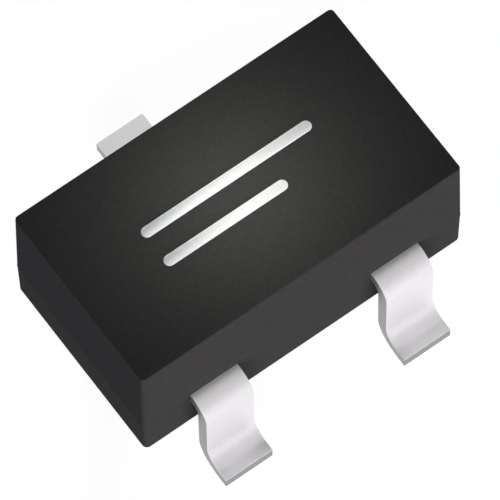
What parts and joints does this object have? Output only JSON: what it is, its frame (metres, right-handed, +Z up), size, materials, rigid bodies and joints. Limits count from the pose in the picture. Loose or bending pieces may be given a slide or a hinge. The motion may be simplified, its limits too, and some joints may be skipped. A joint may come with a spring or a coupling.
{
  "type": "surface-mount transistor",
  "caption": "Surface-mount transistor: a matte black moulded block standing on tin-plated gull-wing leads, with its die, die paddle, bond posts and bond wires sealed inside.",
  "frame": {"origin": "middle of the part's outline on the board surface that the feet stand on", "axes": "+X along the body's length, +Y towards the single rear lead, +Z up out of the board"},
  "size_m": [0.0028, 0.0028, 0.0017],
  "materials": {
    "moulding_compound": "fine matte moulded epoxy",
    "tin_plated_strip": "satin tin plate",
    "silicon": "sawn and polished",
    "die_attach_film": "cured silver-filled epoxy",
    "gold_wire": "drawn gold",
    "marking_ink": "cured white ink"
  },
  "bodies": {
    "root": {"moulded_body": "moulding_compound", "base_lead": "tin_plated_strip", "emitter_lead": "tin_plated_strip", "collector_lead": "tin_plated_strip", "transistor_die": "silicon", "die_attach": "die_attach_film", "base_bond_wire": "gold_wire", "emitter_bond_wire": "gold_wire"}
  },
  "joints": []
}
